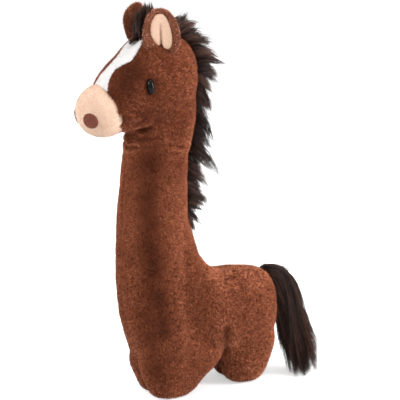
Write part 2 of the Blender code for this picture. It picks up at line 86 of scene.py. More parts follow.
def make_form(start, end, depth, half_width, half_depth, width_shares, depth_shares,
              drift=0.0, drift_shares=(0.0, 0.0), end_power=2.6, side_power=2.2, **more):
    """A stuffed form: an oval that swells and tapers along its line from start to end."""
    return dict(
        start=start + toy_middle, end=end + toy_middle, depth=depth, half_width=half_width,
        half_depth=half_depth, width_shares=width_shares, depth_shares=depth_shares, drift=drift,
        drift_shares=drift_shares, end_power=end_power, side_power=side_power, **more,
    )


def point_on_form(form, unit):
    """Where a point of the unit sphere goes on the form."""
    place = (1 + unit.z) / 2
    reach = max(1 - abs(unit.z) ** form["end_power"], 0.0) ** (1 / form["end_power"])
    turn = math.atan2(unit.y, unit.x)
    inward = math.cos(turn) * form.get("outer_side", 1) < 0
    width = form["inner_width"] if inward and "inner_width" in form else form["half_width"]
    wide = width * share_at(form["width_shares"], place)
    deep = form["half_depth"] * share_at(form["depth_shares"], place)
    middle = form["start"].lerp(form["end"], place)
    middle.z = max(middle.z, form.get("lowest", middle.z))
    shift = form["drift"] * share_at(form["drift_shares"], place)
    side_part = wide * reach * rounded(math.cos(turn), form["side_power"])
    depth_part = deep * reach * rounded(math.sin(turn), form["side_power"])
    return middle + across * side_part + form["depth"] * (depth_part + shift)


def ball(around, along, radius=1.0):
    bm = bmesh.new()
    bmesh.ops.create_uvsphere(bm, u_segments=around, v_segments=along, radius=radius)
    return bm


def face_outward(bm):
    bm.normal_update()
    bmesh.ops.recalc_face_normals(bm, faces=bm.faces)
    bm.normal_update()


def form_bmesh(form, growth, around, along):
    """The form's closed surface, moved out by growth along its normals."""
    bm = ball(around, along)
    for vert in bm.verts:
        vert.co = point_on_form(form, vert.co)
    face_outward(bm)
    moves = [(vert, vert.normal * growth) for vert in bm.verts]
    for vert, move in moves:
        vert.co += move
    return bm


head_form = make_form(
    mid(-0.012, 0.5), mid(-0.18, 0.5), upward, 0.056, 0.074,
    (0.95, 1.0, 1.0, 0.95, 0.85), (0.97, 1.0, 0.98, 0.8, 0.77), 0.025,
    (0.2, 0.1, -0.02, -0.7, -1.3),
)
muzzle_tilt, muzzle_length = math.radians(14), 0.089
muzzle_down = mid(-math.cos(muzzle_tilt), -math.sin(muzzle_tilt))
muzzle_root = mid(-0.117, 0.474)
muzzle_form = make_form(
    muzzle_root, muzzle_root + muzzle_down * muzzle_length, muzzle_down.cross(across),
    0.04, 0.0415, (0.9, 0.97, 1.0, 1.0, 0.96), (0.9, 0.98, 1.0, 0.98, 0.94),
    end_power=2.2, side_power=2.0,
)
neck_form = make_form(
    mid(-0.084, 0.055), mid(-0.084, 0.452), backward, 0.0565, 0.0565,
    (0.94, 1.0, 0.975, 0.9, 0.84), (0.94, 1.0, 0.975, 0.9, 0.84), 0.018,
    (0.95, 0.15, 0.0, 0.2, 0.6), end_power=7.0,
)
trunk_form = make_form(
    mid(-0.095, 0.126), mid(0.128, 0.126), upward, 0.062, 0.07,
    (0.8, 0.88, 0.98, 1.0, 0.94), (1.8, 1.47, 0.99, 0.94, 0.97), 0.034,
    (1.4, 0.97, 0.02, -0.12, -0.34), end_power=3.6, side_power=2.4,
)


def leg_form(side, middle, outer, inner, half_depth, width_shares, depth_shares, drift_shares):
    line_x = side * (inner + 0.0008)
    return make_form(
        Vector((line_x, middle, -0.0035)), Vector((line_x, middle, 0.1)), backward,
        outer, half_depth, width_shares, depth_shares, half_depth, drift_shares,
        end_power=3.5, inner_width=inner, outer_side=side, lowest=-0.0005,
    )


leg_forms = []
for side in (1, -1):
    leg_forms.append(leg_form(
        side, -0.052, 0.043, 0.012, 0.066, (0.9, 0.88, 0.95, 1.0, 1.0),
        (0.66, 0.78, 1.08, 1.08, 1.05), (-0.16, -0.05, 0.1, 0.1, 0.06),
    ))
    leg_forms.append(leg_form(
        side, 0.073, 0.045, 0.012, 0.053, (0.76, 0.78, 0.89, 0.98, 1.0),
        (0.7, 0.8, 0.87, 0.9, 0.9), (-0.04, -0.02, 0.06, 0.12, 0.12),
    ))


# Fuller stuffing where the sewn skin runs smoothly from one form to the next
filled_places = [
    (make_form(
        mid(-0.068, 0.33), mid(-0.034, 0.16), backward, 0.047, 0.033,
        (0.8, 0.95, 1.0, 1.0, 0.9), (0.7, 0.92, 1.06, 1.1, 0.9), end_power=3.0), 48, 40),
    (make_form(
        mid(-0.062, 0.37), mid(-0.05, 0.505), backward, 0.045, 0.04,
        (0.95, 1.0, 1.0, 1.0, 1.0), (0.86, 0.95, 1.02, 1.02, 0.98), end_power=3.0), 48, 32),
    (make_form(
        mid(-0.052, -0.0035), mid(-0.052, 0.1), backward, 0.032, 0.064,
        (0.9, 0.88, 0.95, 1.0, 1.0), (0.64, 0.76, 1.06, 1.06, 1.03), 0.066,
        (-0.16, -0.05, 0.1, 0.1, 0.06), end_power=3.5, lowest=-0.0005), 48, 28),
    (make_form(
        mid(0.073, -0.0035), mid(0.073, 0.1), backward, 0.032, 0.0515,
        (0.76, 0.78, 0.89, 0.98, 1.0), (0.7, 0.8, 0.87, 0.9, 0.9), 0.053,
        (-0.04, -0.02, 0.06, 0.12, 0.12), end_power=3.5, lowest=-0.0005), 48, 28),
    (make_form(
        mid(0.062, 0.04), mid(0.062, 0.16), backward, 0.052, 0.058,
        (0.85, 0.98, 1.0, 1.0, 0.95), (0.9, 1.0, 1.05, 1.06, 1.0), 0.058,
        (0.1, 0.12, 0.12, 0.1, 0.1), end_power=4.0), 48, 28),
]


# Arrays: points and normals of a mesh, distances, and many copies of one small shape


def rows_of(items, key):
    """A vector of each vertex of a mesh, as rows."""
    rows = np.empty(len(items) * 3, np.float32)
    items.foreach_get(key, rows)
    return rows.reshape(-1, 3).astype(float)


def unit_rows(rows):
    return rows / np.maximum(np.linalg.norm(rows, axis=-1, keepdims=True), 1e-12)


def spots_on(mesh, spacing, seed, keep=None):
    """Places spread evenly over a mesh, with the smooth normal at each."""
    mesh.calc_loop_triangles()
    corners = np.empty(len(mesh.loop_triangles) * 3, np.int32)
    mesh.loop_triangles.foreach_get("vertices", corners)
    corners = corners.reshape(-1, 3)
    points, normals = rows_of(mesh.vertices, "co"), rows_of(mesh.vertex_normals, "vector")
    if keep is not None:
        corners = corners[keep(points[corners].mean(1))]
    one, two, three = (points[corners[:, i]] for i in range(3))
    area = np.linalg.norm(np.cross(two - one, three - one), axis=1) / 2
    random = np.random.default_rng(seed)
    count = np.floor(area / spacing**2 + random.random(len(area))).astype(int)
    chosen = np.repeat(np.arange(len(area)), count)
    u, v = random.random((2, len(chosen)))
    folded = u + v > 1
    u[folded], v[folded] = 1 - u[folded], 1 - v[folded]
    weights = np.stack([1 - u - v, u, v], 1)[:, :, None]
    spot = (points[corners[chosen]] * weights).sum(1)
    normal = unit_rows((normals[corners[chosen]] * weights).sum(1))
    return spot, normal


def distance_to_line(points, line):
    """How far each point is from a line of short straight runs."""
    best = np.full(len(points), 1e9)
    for one, two in zip(line, line[1:]):
        one, run = np.array(one, float), np.array(two, float) - np.array(one, float)
        part = np.clip((points - one) @ run / max(run @ run, 1e-12), 0, 1)
        best = np.minimum(best, np.linalg.norm(points - one - part[:, None] * run, axis=1))
    return best


def small_shape(segments, cuts):
    """One hair to be copied: a closed taper with its foot at 0 and its tip at 1 on Z."""
    bm = bmesh.new()
    bmesh.ops.create_cone(
        bm, cap_ends=True, segments=segments, radius1=1.0, radius2=0.0, depth=1.0
    )
    bmesh.ops.remove_doubles(bm, verts=bm.verts, dist=1e-5)
    bmesh.ops.translate(bm, verts=bm.verts, vec=upward / 2)
    if cuts:
        long_edges = [e for e in bm.edges if abs(e.verts[0].co.z - e.verts[1].co.z) > 0.5]
        bmesh.ops.subdivide_edges(bm, edges=long_edges, cuts=cuts, use_grid_fill=True)
    face_outward(bm)
    bm.verts.index_update()
    points = np.array([vert.co for vert in bm.verts], float)
    faces = [[vert.index for vert in face.verts] for face in bm.faces]
    bm.free()
    return points, faces


def add_object(name, data):
    obj = bpy.data.objects.new(name, data)
    bpy.context.scene.collection.objects.link(obj)
    return obj


def copies_mesh(name, points, faces, tints, normals, material):
    """A mesh of many copies of one small shape. points is copies by corners by 3."""
    copies, corners = points.shape[:2]
    mesh = bpy.data.meshes.new(name)
    mesh.vertices.add(copies * corners)
    mesh.vertices.foreach_set("co", points.astype(np.float32).ravel())
    loops = np.concatenate([np.array(face) for face in faces])
    all_loops = (np.arange(copies)[:, None] * corners + loops[None, :]).ravel()
    all_sizes = np.tile([len(face) for face in faces], copies)
    starts = np.concatenate([[0], np.cumsum(all_sizes)[:-1]])
    mesh.loops.add(len(all_loops))
    mesh.loops.foreach_set("vertex_index", all_loops.astype(np.int32))
    mesh.polygons.add(len(all_sizes))
    mesh.polygons.foreach_set("loop_start", starts.astype(np.int32))
    mesh.update(calc_edges=True)
    mesh.shade_smooth()
    colours = mesh.attributes.new("tint", "FLOAT_COLOR", "POINT")
    filled = np.ones((copies * corners, 4), np.float32)
    filled[:, :3] = tints.reshape(-1, 3)
    colours.data.foreach_set("color", filled.ravel())
    if normals is not None:
        mesh.normals_split_custom_set_from_vertices(
            [tuple(normal) for normal in normals.reshape(-1, 3)]
        )
    mesh.materials.append(material)
    return add_object(name, mesh)


def across_of(directions):
    """Two unit rows square to each direction."""
    guide = np.where(np.abs(directions[:, 2:3]) < 0.9, [[0.0, 0.0, 1.0]], [[1.0, 0.0, 0.0]])
    one = unit_rows(np.cross(directions, guide))
    return one, np.cross(directions, one)


# Finishes


def shader_of(material):
    return material.node_tree.nodes["Principled BSDF"]


def set_inputs(node, **values):
    """Sets sockets by their names, written with _ for each space."""
    for socket, value in values.items():
        node.inputs[socket.replace("_", " ")].default_value = value


def new_material(name, roughness, **values):
    material = bpy.data.materials.new(name)
    material.use_nodes = True
    set_inputs(shader_of(material), Roughness=roughness, **values)
    return material


def add_node(material, kind, **settings):
    node = material.node_tree.nodes.new(kind)
    for key, value in settings.items():
        setattr(node, key, value)
    return node


def join(material, out_socket, in_socket):
    material.node_tree.links.new(out_socket, in_socket)


def lay_texture(material, texture, stretch=None, **values):
    """Lays a texture node on the piece's own coordinates."""
    place = add_node(material, "ShaderNodeTexCoord").outputs["Object"]
    if stretch:
        mapping = add_node(material, "ShaderNodeMapping")
        set_inputs(mapping, Scale=stretch)
        join(material, place, mapping.inputs["Vector"])
        place = mapping.outputs["Vector"]
    set_inputs(texture, **values)
    join(material, place, texture.inputs["Vector"])
    return texture


def lay_noise(material, stretch=None, **values):
    noise_node = add_node(material, "ShaderNodeTexNoise")
    return lay_texture(material, noise_node, stretch, **values).outputs["Fac"]


def ramp_colour(material, value_socket, dark, light, ends=(0.0, 1.0)):
    """Base colour that runs from dark to light with a texture's value."""
    ramp = add_node(material, "ShaderNodeValToRGB")
    for element, end, colour in zip(ramp.color_ramp.elements, ends, (dark, light)):
        element.position = end
        element.color = (*colour, 1.0)
    join(material, value_socket, ramp.inputs["Fac"])
    join(material, ramp.outputs["Color"], shader_of(material).inputs["Base Color"])


def add_bump(material, height_socket, distance, strength):
    bump = add_node(material, "ShaderNodeBump")
    set_inputs(bump, Distance=distance, Strength=strength)
    join(material, height_socket, bump.inputs["Height"])
    join(material, bump.outputs["Normal"], shader_of(material).inputs["Normal"])


def tinted_colour(material, grain_scale, grain_low, grain_high):
    """Base colour from the piece's own tint, broken up by a fine grain."""
    tint = add_node(material, "ShaderNodeAttribute", attribute_name="tint")
    span = add_node(material, "ShaderNodeMapRange")
    set_inputs(span, To_Min=grain_low, To_Max=grain_high)
    join(material, lay_noise(material, Scale=grain_scale, Detail=3.0), span.inputs["Value"])
    mixed = add_node(material, "ShaderNodeVectorMath", operation="SCALE")
    join(material, tint.outputs["Color"], mixed.inputs[0])
    join(material, span.outputs["Result"], mixed.inputs["Scale"])
    join(material, mixed.outputs["Vector"], shader_of(material).inputs["Base Color"])


def cloth_material(name, colour):
    """The knitted ground that the pile stands on."""
    material = new_material(name, 0.95, Specular_IOR_Level=0.1)
    cells = add_node(material, "ShaderNodeTexVoronoi")
    knit = lay_texture(material, cells, Scale=900.0).outputs["Distance"]
    ramp_colour(material, knit, colour * 0.6, colour)
    add_bump(material, knit, 0.0004, 0.6)
    return material


def patterned(name, roughness, scale, dark, light, stretch=None, **values):
    """Two close tones broken up by a noise, with a fine relief."""
    material = new_material(name, roughness, **values)
    cloud = lay_noise(material, stretch, Scale=scale, Detail=4.0)
    ramp_colour(material, cloud, dark, light, (0.3, 0.7))
    add_bump(material, cloud, 0.0003, 0.5)
    return material


def weave_material(name, dark, light):
    """Warp and weft that pass over and under each other."""
    material = new_material(name, 0.85, Specular_IOR_Level=0.2)
    both = add_node(material, "ShaderNodeMath", operation="MULTIPLY")
    for direction, factor in zip("XZ", both.inputs):
        wave = add_node(material, "ShaderNodeTexWave", bands_direction=direction)
        lay_texture(material, wave, Scale=260.0, Distortion=0.6)
        join(material, wave.outputs["Fac"], factor)
    ramp_colour(material, both.outputs[0], dark, light)
    add_bump(material, both.outputs[0], 0.0004, 0.7)
    return material


brown = np.array((0.315, 0.093, 0.043))
peach = np.array((0.91, 0.63, 0.475))
white = np.array((0.97, 0.965, 0.96))
dark_hair = np.array((0.03, 0.013, 0.009))

pile_brown = new_material(
    "pile_brown", 0.85, Specular_IOR_Level=0.1, Sheen_Weight=0.1, Sheen_Roughness=0.4,
    Sheen_Tint=(0.9, 0.5, 0.35, 1.0),
)
pile_pale = new_material(
    "pile_pale", 0.85, Specular_IOR_Level=0.1, Sheen_Weight=0.1, Sheen_Roughness=0.5,
)
hair_gloss = new_material("hair_gloss", 0.5, Specular_IOR_Level=0.2)
for pile in (pile_brown, pile_pale):
    tinted_colour(pile, 260.0, 0.86, 1.14)
tinted_colour(hair_gloss, 500.0, 0.75, 1.3)
cloth_brown = cloth_material("cloth_brown", brown * 0.45)
cloth_peach = cloth_material("cloth_peach", peach * 0.88)
cloth_white = cloth_material("cloth_white", white * 0.9)

eye_gloss = new_material("eye_gloss", 0.03, Specular_IOR_Level=0.12)
eye_cloud = lay_noise(eye_gloss, Scale=90.0)
ramp_colour(eye_gloss, eye_cloud, (0.0012, 0.001, 0.001), (0.005, 0.003, 0.0024))
stitch_brown = patterned(
    "stitch_brown", 0.55, 900.0, (0.085, 0.022, 0.013), (0.19, 0.052, 0.03), (1.0, 1.0, 0.25),
    Specular_IOR_Level=0.2, Sheen_Weight=0.1, Sheen_Roughness=0.4,
)
weave_dark = weave_material("weave_dark", (0.01, 0.006, 0.005), (0.06, 0.032, 0.024))
washer_white = patterned(
    "washer_white", 0.35, 220.0, (0.7, 0.7, 0.69), (0.8, 0.8, 0.79), Specular_IOR_Level=0.5
)
for name, material in (
    ("mane_strip", weave_dark), ("tail_strip", weave_dark),
    ("left_eye_washer", washer_white), ("right_eye_washer", washer_white),
):
    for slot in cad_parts[name].material_slots:
        slot.material = material


# The skin of the body: head, neck, trunk and legs in one


def object_of(name, bm, material=None):
    mesh = bpy.data.meshes.new(name)
    bm.to_mesh(mesh)
    bm.free()
    mesh.shade_smooth()
    if material:
        mesh.materials.append(material)
    return add_object(name, mesh)


def sewn_skin(name, forms, growth, grain):
    """One closed skin over several forms."""
    bm = bmesh.new()
    for form, around, along in forms:
        part = form_bmesh(form, growth, around, along)
        held = bpy.data.meshes.new("part")
        part.to_mesh(held)
        part.free()
        bm.from_mesh(held)
        bpy.data.meshes.remove(held)
    rough = object_of(name, bm)
    remesh = rough.modifiers.new("remesh", "REMESH")
    remesh.mode = "VOXEL"
    remesh.voxel_size = grain
    bpy.context.view_layer.update()
    skin = bmesh.new()
    skin.from_mesh(rough.evaluated_get(bpy.context.evaluated_depsgraph_get()).to_mesh())
    bpy.data.objects.remove(rough, do_unlink=True)
    return skin


def smooth(bm, turns, factor):
    """Evens a skin out, as the stuffing does."""
    for _ in range(turns):
        bmesh.ops.smooth_vert(
            bm, verts=bm.verts, factor=factor, use_axis_x=True, use_axis_y=True, use_axis_z=True
        )


def seam_press(points, normals):
    """The seam down the front of neck and chest, and the pucker where the legs meet."""
    beside, z = np.abs(points[:, 0]), points[:, 2]
    front = np.clip(-normals[:, 1] * 2.0, 0.0, 1.0) * (z < 0.43)
    seam = 0.0011 * np.exp(-((beside / 0.0022) ** 2)) * front
    low = np.clip((0.075 - z) / 0.05, 0.0, 1.0)
    pucker = 0.0048 * np.exp(-((beside / 0.0055) ** 2)) * low
    return seam + pucker


def press(bm, creases):
    """Pushes the skin in along each crease and lets it swell a little beside it."""
    face_outward(bm)
    points = np.array([vert.co for vert in bm.verts], float)
    normals = np.array([vert.normal for vert in bm.verts], float)
    shift = -seam_press(points, normals)
    for line, depth, width in creases:
        far = distance_to_line(points, line) / width
        shift += depth * (0.3 * np.exp(-((far - 2.0) ** 2)) - np.exp(-(far**2)))
    lumps = 0.0011 * mottle(points, 26.0) + 0.0006 * mottle(points, 64.0)
    shift += lumps * (points[:, 2] > 0.02)
    for vert, move in zip(bm.verts, normals * shift[:, None]):
        vert.co += Vector(move)


def mottle(points, scale):
    """Smooth noise between about -1 and 1, in cells of 1 / scale."""
    return np.array([noise.noise(row) for row in (np.asarray(points) * scale).tolist()])


body_forms = [(head_form, 72, 40), (neck_form, 72, 80), (trunk_form, 72, 48)]
body_forms += [(form, 48, 28) for form in leg_forms]
body_forms += filled_places


def both_sides(creases):
    """The same creases on the left and the right of the toy."""
    mirrored = [
        ([(-x, y, z) for x, y, z in line], depth, width) for line, depth, width in creases
    ]
    return creases + mirrored


# Where the stuffing of the rump stands fuller still: its middle, its reach each way and its push
swell_middle, swell_reach = mid(0.112, 0.166), (0.05, 0.024, 0.026)
swell_push = mid(0.0035, 0.006)

# Each crease is a line, how deep it is and how wide
creases = both_sides([
    # the dimple that the eye is pulled into
    ([(0.0525, -0.1048, 0.494), (0.0525, -0.104, 0.508)], 0.002, 0.0095),
    # the fold where the jaw meets the neck, and a slacker one above it
    ([(0.0, -0.133, 0.43), (0.0198, -0.1231, 0.4331), (0.0247, -0.1096, 0.4342),
      (0.0334, -0.099, 0.4355)], 0.004, 0.0036),
    ([(0.0354, -0.1435, 0.45), (0.0363, -0.1262, 0.4455), (0.0421, -0.1078, 0.4521)],
     0.0016, 0.004),
    ([(0.019, -0.118, 0.4195), (0.033, -0.101, 0.42), (0.043, -0.085, 0.4215)],
     0.0026, 0.0032),
    # the corner of the mouth
    ([(0.0396, -0.1446, 0.4612), (0.0369, -0.1458, 0.455), (0.0349, -0.1469, 0.4488)],
     0.0035, 0.003),
    # the seam round the top of the neck
    ([(0.0, -0.119, 0.402), (0.0187, -0.1131, 0.4061)], 0.0042, 0.0028),
    ([(0.0187, -0.1131, 0.4061), (0.038, -0.092, 0.409), (0.0447, -0.0715, 0.4097)],
     0.003, 0.0026),
    ([(0.0447, -0.0715, 0.4097), (0.0432, -0.0556, 0.4054), (0.029, -0.0344, 0.401),
      (0.0, -0.026, 0.4)], 0.0044, 0.0028),
    # the tuck above the arch between front and hind leg
    ([(0.025, 0.0391, 0.0595), (0.0511, 0.0239, 0.0878), (0.0571, 0.0203, 0.1102)],
     0.003, 0.006),
])
skin = sewn_skin("horse_plush", body_forms, -pile_depth, cloth_grain)
smooth(skin, 22, 0.5)
for vert in skin.verts:
    moved = vert.co - swell_middle
    far = sum((part / length) ** 2 for part, length in zip(moved, swell_reach))
    vert.co += swell_push * math.exp(-far)
    vert.co.z = max(vert.co.z, 0.0012)
press(skin, creases)
smooth(skin, 2, 0.4)
face_outward(skin)
horse_plush = object_of("horse_plush", skin, cloth_brown)
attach(horse_plush, "horse")
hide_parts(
    "head_skin", "head_stuffing", "neck_skin", "neck_stuffing", "trunk_skin",
    "trunk_stuffing", "front_left_leg_skin", "front_left_leg_stuffing", "front_right_leg_skin",
    "front_right_leg_stuffing", "hind_left_leg_skin", "hind_left_leg_stuffing",
    "hind_right_leg_skin", "hind_right_leg_stuffing",
)

muzzle_skin = form_bmesh(muzzle_form, -pile_depth * 0.7, 64, 40)
muzzle_plush = object_of("muzzle_plush", muzzle_skin, cloth_peach)
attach(muzzle_plush, "horse")
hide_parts("muzzle_skin", "muzzle_stuffing")


# White gusset down the face

blaze_top = mid(-0.098, 0.566) + toy_middle
blaze_length = 0.099
blaze_tilt = math.radians(42)
blaze_down = mid(-math.cos(blaze_tilt), -math.sin(blaze_tilt))
blaze_out = mid(-math.sin(blaze_tilt), math.cos(blaze_tilt))
blaze_half_widths = (
    0.0065, 0.0182, 0.0224, 0.0255, 0.0255, 0.0192, 0.0151, 0.0166, 0.0203, 0.0245,
)
# On the far side the gusset is narrower, here by its place from top to bottom
blaze_far_places, blaze_far_shares = (0.15, 0.4, 0.9), (1.0, 0.4, 0.4)


def in_blaze(points, margin=0.0):
    """Which points of the head lie inside the gusset's outline."""
    moved = np.asarray(points, float) - np.array(blaze_top)
    along = moved @ np.array(blaze_down)
    out = moved @ np.array(blaze_out)
    widths = np.array([share_at(blaze_half_widths, place / 40) for place in range(41)])
    half = np.interp(along / blaze_length, np.linspace(0, 1, 41), widths)
    near = (along > -margin) & (along < blaze_length + margin) & (out > -0.045)
    slack = np.interp(along / blaze_length, blaze_far_places, blaze_far_shares)
    half = np.where(moved[:, 0] < 0, half * slack, half)
    return near & (np.abs(moved[:, 0]) < half + margin)


blaze_skin = form_bmesh(head_form, -pile_depth + 0.0006, 200, 120)
outside = [
    face for face, inside in zip(
        blaze_skin.faces, in_blaze([face.calc_center_median() for face in blaze_skin.faces])
    ) if not inside
]
bmesh.ops.delete(blaze_skin, geom=outside, context="FACES")
face_outward(blaze_skin)
bmesh.ops.solidify(blaze_skin, geom=blaze_skin.faces[:], thickness=0.0025)
face_outward(blaze_skin)
blaze_plush = object_of("blaze_plush", blaze_skin, cloth_white)
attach(blaze_plush, "horse")
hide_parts("blaze_panel")


# Pile

pile_shape = small_shape(3, 0)
pile_spacing = 0.00125
pile_sink = 0.0006
nap_down, nap_head, nap_muzzle = (0.0, 0.25, -1.0), (0.0, 0.8, -0.5), (0.0, 0.9, 0.1)

# Darker pile, painted shade included, is also a stronger colour, as fur in shade looks
deepening = np.array((0.88, 1.12, 1.3))

# Painted shade: each place is a line, how much darker its pile is painted and how wide
painted_shade_places = [
    # painted shade on the band down the side of neck and chest, the temple, below the eye, the
    # chest and the elbow
    ([(0.0388, -0.1002, 0.389), (0.0413, -0.1054, 0.3291), (0.046, -0.1052, 0.2684),
      (0.0503, -0.0995, 0.2059), (0.052, -0.0924, 0.1576), (0.0518, -0.084, 0.1239)],
     0.66, 0.0165),
    ([(0.0387, -0.1247, 0.5224), (0.0388, -0.1346, 0.5116), (0.0378, -0.1439, 0.5006)],
     0.95, 0.0165),
    ([(0.0457, -0.1144, 0.4593), (0.0486, -0.1044, 0.4663), (0.0412, -0.0893, 0.4516)],
     0.48, 0.012),
    ([(0.052, -0.093, 0.4806), (0.0522, -0.0799, 0.4824)], 0.25, 0.008),
    # painted shade in the dimple that the eye is pulled into
    ([(0.0525, -0.1048, 0.494), (0.0525, -0.104, 0.508)], 0.4, 0.0125),
    ([(0.038, -0.113, 0.15), (0.042, -0.108, 0.09), (0.04, -0.09, 0.045)],
     0.48, 0.019),
]


def brown_shade(spots, normals):
    """How dark the brown pile is painted: its tone, painted shade in curls, creases and dark
    places, and painted light.
    """
    height, facing_up = spots[:, 2], normals[:, 2]
    head = np.clip((height - 0.4) / 0.04, 0.0, 1.0)
    low = np.clip((0.27 - height) / 0.07, 0.0, 1.0)
    # Curls: painted shade of the small creases in crushed pile
    curl_shade = np.exp(-((mottle(spots + 1.7, 150.0) / (0.08 + 0.05 * head)) ** 2))
    pores = np.clip((-0.22 - mottle(spots + 5.1, 280.0)) * 8.0, 0.0, 1.0)
    hind = np.clip((0.1 - height) / 0.03, 0.0, 1.0) * (spots[:, 1] > 0.03)
    tone = 1.06 - 0.26 * head + 0.28 * hind
    tone += (0.42 - 0.14 * low) * mottle(spots * (1.0, 1.0, 0.55), 27.0)
    tone *= 1.0 - (0.26 + 0.42 * head) * curl_shade
    tone *= 1.0 - (0.16 + 0.46 * low) * pores
    blotch = 1.0 + 0.6 * mottle(spots, 42.0)
    # Painted shade at each of the painted-shade places, in blotches
    for line, depth, width in both_sides(painted_shade_places):
        far = distance_to_line(spots, line) / width
        tone *= 1.0 - depth * np.exp(-(far**2)) * blotch
    # Painted shade along each crease, and a painted highlight on the swell beside it
    for line, depth, width in creases:
        far = distance_to_line(spots, line) / width
        tone *= 1.0 - min(0.62, depth * 190.0) * np.exp(-(far**2))
        tone *= 1.0 + min(0.22, depth * 60.0) * np.exp(-((far - 2.4) ** 2))
    # Painted shade along the seam down the front and the pucker between the legs
    tone *= 1.0 - np.clip(seam_press(spots, normals) * 150.0, 0.0, 0.6)
    # Painted light on pile that faces up on back and rump, as if lit by the lamp above
    tone *= 1.0 + 0.5 * np.clip((facing_up - 0.3) / 0.5, 0.0, 1.0) * (height < 0.24)
    return tone


def pile_on(name, mesh, length, foot, nap, colour, material, seed, keep=None, spread=0.4,
            nap_share=0.7, shade=None, body="horse", rough=1.0, closeness=1.0):
    """Short pile on a skin: small tapers that lean the way the nap runs."""
    spots, normals = spots_on(mesh, pile_spacing * closeness, seed, keep)
    random = np.random.default_rng(seed + 1)
    count = len(spots)
    scatter = random.normal(size=(count, 3)) * spread
    swirl = np.stack([mottle(spots + shift, 95.0) for shift in (0.0, 3.1, 7.7)], 1) * 0.9 * rough
    flow = np.array(nap) + swirl
    flow -= normals * np.sum(flow * normals, axis=1, keepdims=True)
    direction = unit_rows(normals + flow * nap_share + scatter)
    lengths = length * random.uniform(0.75, 1.2, count)
    spots = spots - normals * pile_sink
    one, two = across_of(direction)
    shape, faces = pile_shape
    points = (
        spots[:, None]
        + one[:, None] * (shape[:, 0] * foot)[None, :, None]
        + two[:, None] * (shape[:, 1] * foot)[None, :, None]
        + direction[:, None] * (shape[:, 2][None, :] * lengths[:, None])[..., None]
    )
    points[..., 2] = np.maximum(points[..., 2], 0.0003)
    speck = mottle(spots, 380.0)
    tone = random.normal(1.0, 0.1, count)
    tone += rough * (0.16 * mottle(spots, 48.0) + 0.34 * mottle(spots, 210.0) + 0.8 * speck)
    tone *= np.where(speck < -0.42, 1.0 - 0.5 * rough, 1.0)
    if shade is not None:
        tone *= shade(spots, normals)
    # Each tuft is painted darker toward its foot: painted shade deep in the pile
    depth = np.maximum(tone, 0.12)[:, None] * (0.62 + 0.5 * shape[:, 2])[None, :]
    tints = np.clip(colour[None, None] * depth[..., None] ** deepening, 0.0, 1.0)
    soft = unit_rows(0.8 * normals + direction)
    normal_rows = np.repeat(soft[:, None], len(shape), axis=1)
    obj = copies_mesh(name, points, faces, tints, normal_rows, material)
    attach(obj, body)


muzzle_tree = BVHTree.FromObject(muzzle_plush, bpy.context.evaluated_depsgraph_get())
horse_tree = BVHTree.FromObject(horse_plush, bpy.context.evaluated_depsgraph_get())


def muzzle_place(points):
    """Where points lie along, across and up the muzzle, as shares of its size."""
    moved = points - np.array(muzzle_form["start"])
    along = moved @ np.array(muzzle_down) / muzzle_length
    return along, moved[:, 0] / 0.037, moved @ np.array(muzzle_form["depth"]) / 0.0385


def outside_muzzle(points):
    """Leaves out the part of the head that the muzzle covers."""
    along, side, rise = muzzle_place(points)
    return (along < 0) | (np.hypot(side, rise) > 1.0)


def face_axes(normal):
    """The level and the rising direction square to the way out of a surface."""
    level = upward.cross(normal).normalized()
    return level, normal.cross(level)


# Nostrils, stitched over and over with one thread

nostril_radius, thread_pitch = 0.0121, 0.00105


def nostril_seat(side):
    """The place of a nostril on the muzzle, and the way out of it."""
    turn, pitch = math.radians(56), math.radians(-14)
    aim = Vector((side * math.cos(turn), -math.sin(turn), 0.0)) * math.cos(pitch)
    aim.z = math.sin(pitch)
    middle = muzzle_form["start"].lerp(muzzle_form["end"], 0.5)
    return muzzle_tree.ray_cast(middle, aim)[:2]


nostril_seats = {side: nostril_seat(side) for side in side_names}


def clear_of_nostrils(points):
    clear = np.ones(len(points), bool)
    for spot, _ in nostril_seats.values():
        clear &= np.linalg.norm(points - np.array(spot), axis=1) > nostril_radius - 0.0006
    return clear


def muzzle_shade(spots, normals):
    """A warmer tone on top of the muzzle and where it meets the cheek."""
    along, _, rise = muzzle_place(spots)
    warm = np.exp(-(((along - 0.35) / 0.2) ** 2) - ((rise - 0.75) / 0.5) ** 2)
    return 1.04 - 0.34 * warm + 0.24 * mottle(spots, 45.0)


def make_nostril(side, name):
    """A round pad of threads side by side, each a ridge that waves a little."""
    spot, normal = nostril_seats[side]
    x_axis, y_axis = face_axes(normal)
    bm = bmesh.new()
    bmesh.ops.create_grid(bm, x_segments=110, y_segments=36, size=1.0)
    for vert in bm.verts:
        u, v = vert.co.x, vert.co.y
        x, y = u * math.sqrt(1 - v * v / 2), v * math.sqrt(1 - u * u / 2)
        start = spot + (x_axis * x + y_axis * y) * nostril_radius + normal * 0.01
        hit = muzzle_tree.ray_cast(start, -normal)
        edge = max(min(1.0, (1.0 - math.hypot(x, y)) / 0.14), 0.0)
        turns = x * nostril_radius / thread_pitch
        rise = 0.0019 * math.sqrt(edge) + 0.0004 * abs(math.cos(math.pi * turns))
        vert.co = hit[0] + normal * (rise + 0.00006 * math.sin(y * 23 + 9 * math.floor(turns)))
    face_outward(bm)
    if sum((face.normal.dot(normal) for face in bm.faces), 0.0) < 0:
        bmesh.ops.reverse_faces(bm, faces=bm.faces)
    bmesh.ops.solidify(bm, geom=bm.faces[:], thickness=0.0015)
    face_outward(bm)
    nostril = object_of(name + "_nostril_stitches", bm, stitch_brown)
    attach(nostril, "horse")
    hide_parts(name + "_nostril")


for side, name in side_names.items():
    make_nostril(side, name)


# Eyes: glossy domes pulled into the plush

eye_half_width, eye_half_height, eye_dome, eye_foot = 0.006, 0.0117, 0.0066, 0.0022
eye_middle = mid(-0.11, 0.501) + toy_middle


